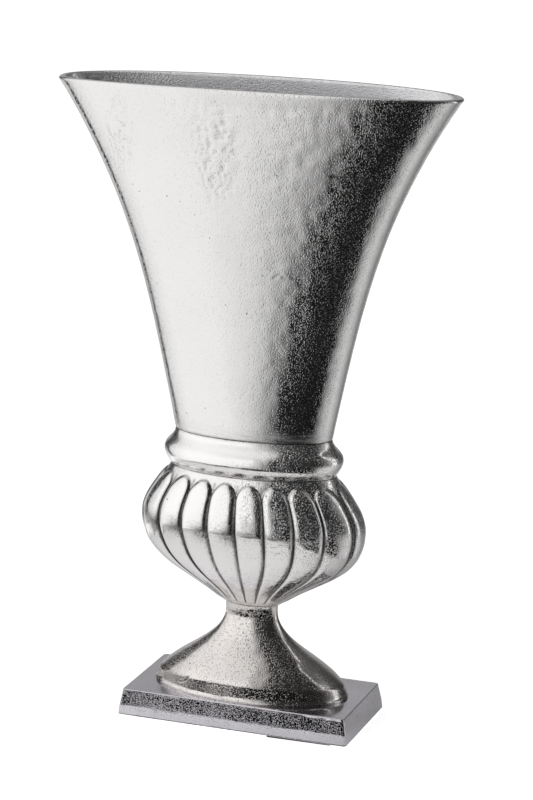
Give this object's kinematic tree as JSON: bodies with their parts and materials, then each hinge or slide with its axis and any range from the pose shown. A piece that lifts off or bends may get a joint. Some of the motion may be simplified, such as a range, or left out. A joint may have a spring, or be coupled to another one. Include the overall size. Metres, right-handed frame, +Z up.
{
  "type": "goblet vase",
  "caption": "Oval goblet vase in cast raw nickel: flared trumpet, collar ring, gadrooned bowl and waisted foot on a rectangular plinth.",
  "frame": {"origin": "centre of the part's footprint, on the surface that it stands on", "axes": "+Z up, +X along the long axis of the oval mouth, -Y towards the front face"},
  "size_m": [0.32, 0.094, 0.5],
  "materials": {
    "raw_nickel_polished": "raw nickel plate over sand-cast aluminium, softly polished, with pebbled casting grain and small pits",
    "raw_nickel_cast": "raw nickel plate over sand-cast aluminium, rougher casting grain, edges rubbed bright",
    "zinc_plated_steel": "bright zinc plate",
    "black_rubber": "matt",
    "black_felt": "matt fibrous"
  },
  "bodies": {
    "root": {"trumpet": "raw_nickel_polished", "collar_ring": "raw_nickel_polished", "gadrooned_bowl": "raw_nickel_polished", "pedestal_foot": "raw_nickel_cast", "plinth": "raw_nickel_cast", "tie_rod": "zinc_plated_steel", "sealing_washer": "black_rubber", "bowl_washer": "zinc_plated_steel", "cap_nut": "zinc_plated_steel", "plinth_washer": "zinc_plated_steel", "lock_nut": "zinc_plated_steel", "felt_pad_front_right": "black_felt", "felt_pad_front_left": "black_felt", "felt_pad_back_right": "black_felt", "felt_pad_back_left": "black_felt"}
  },
  "joints": []
}
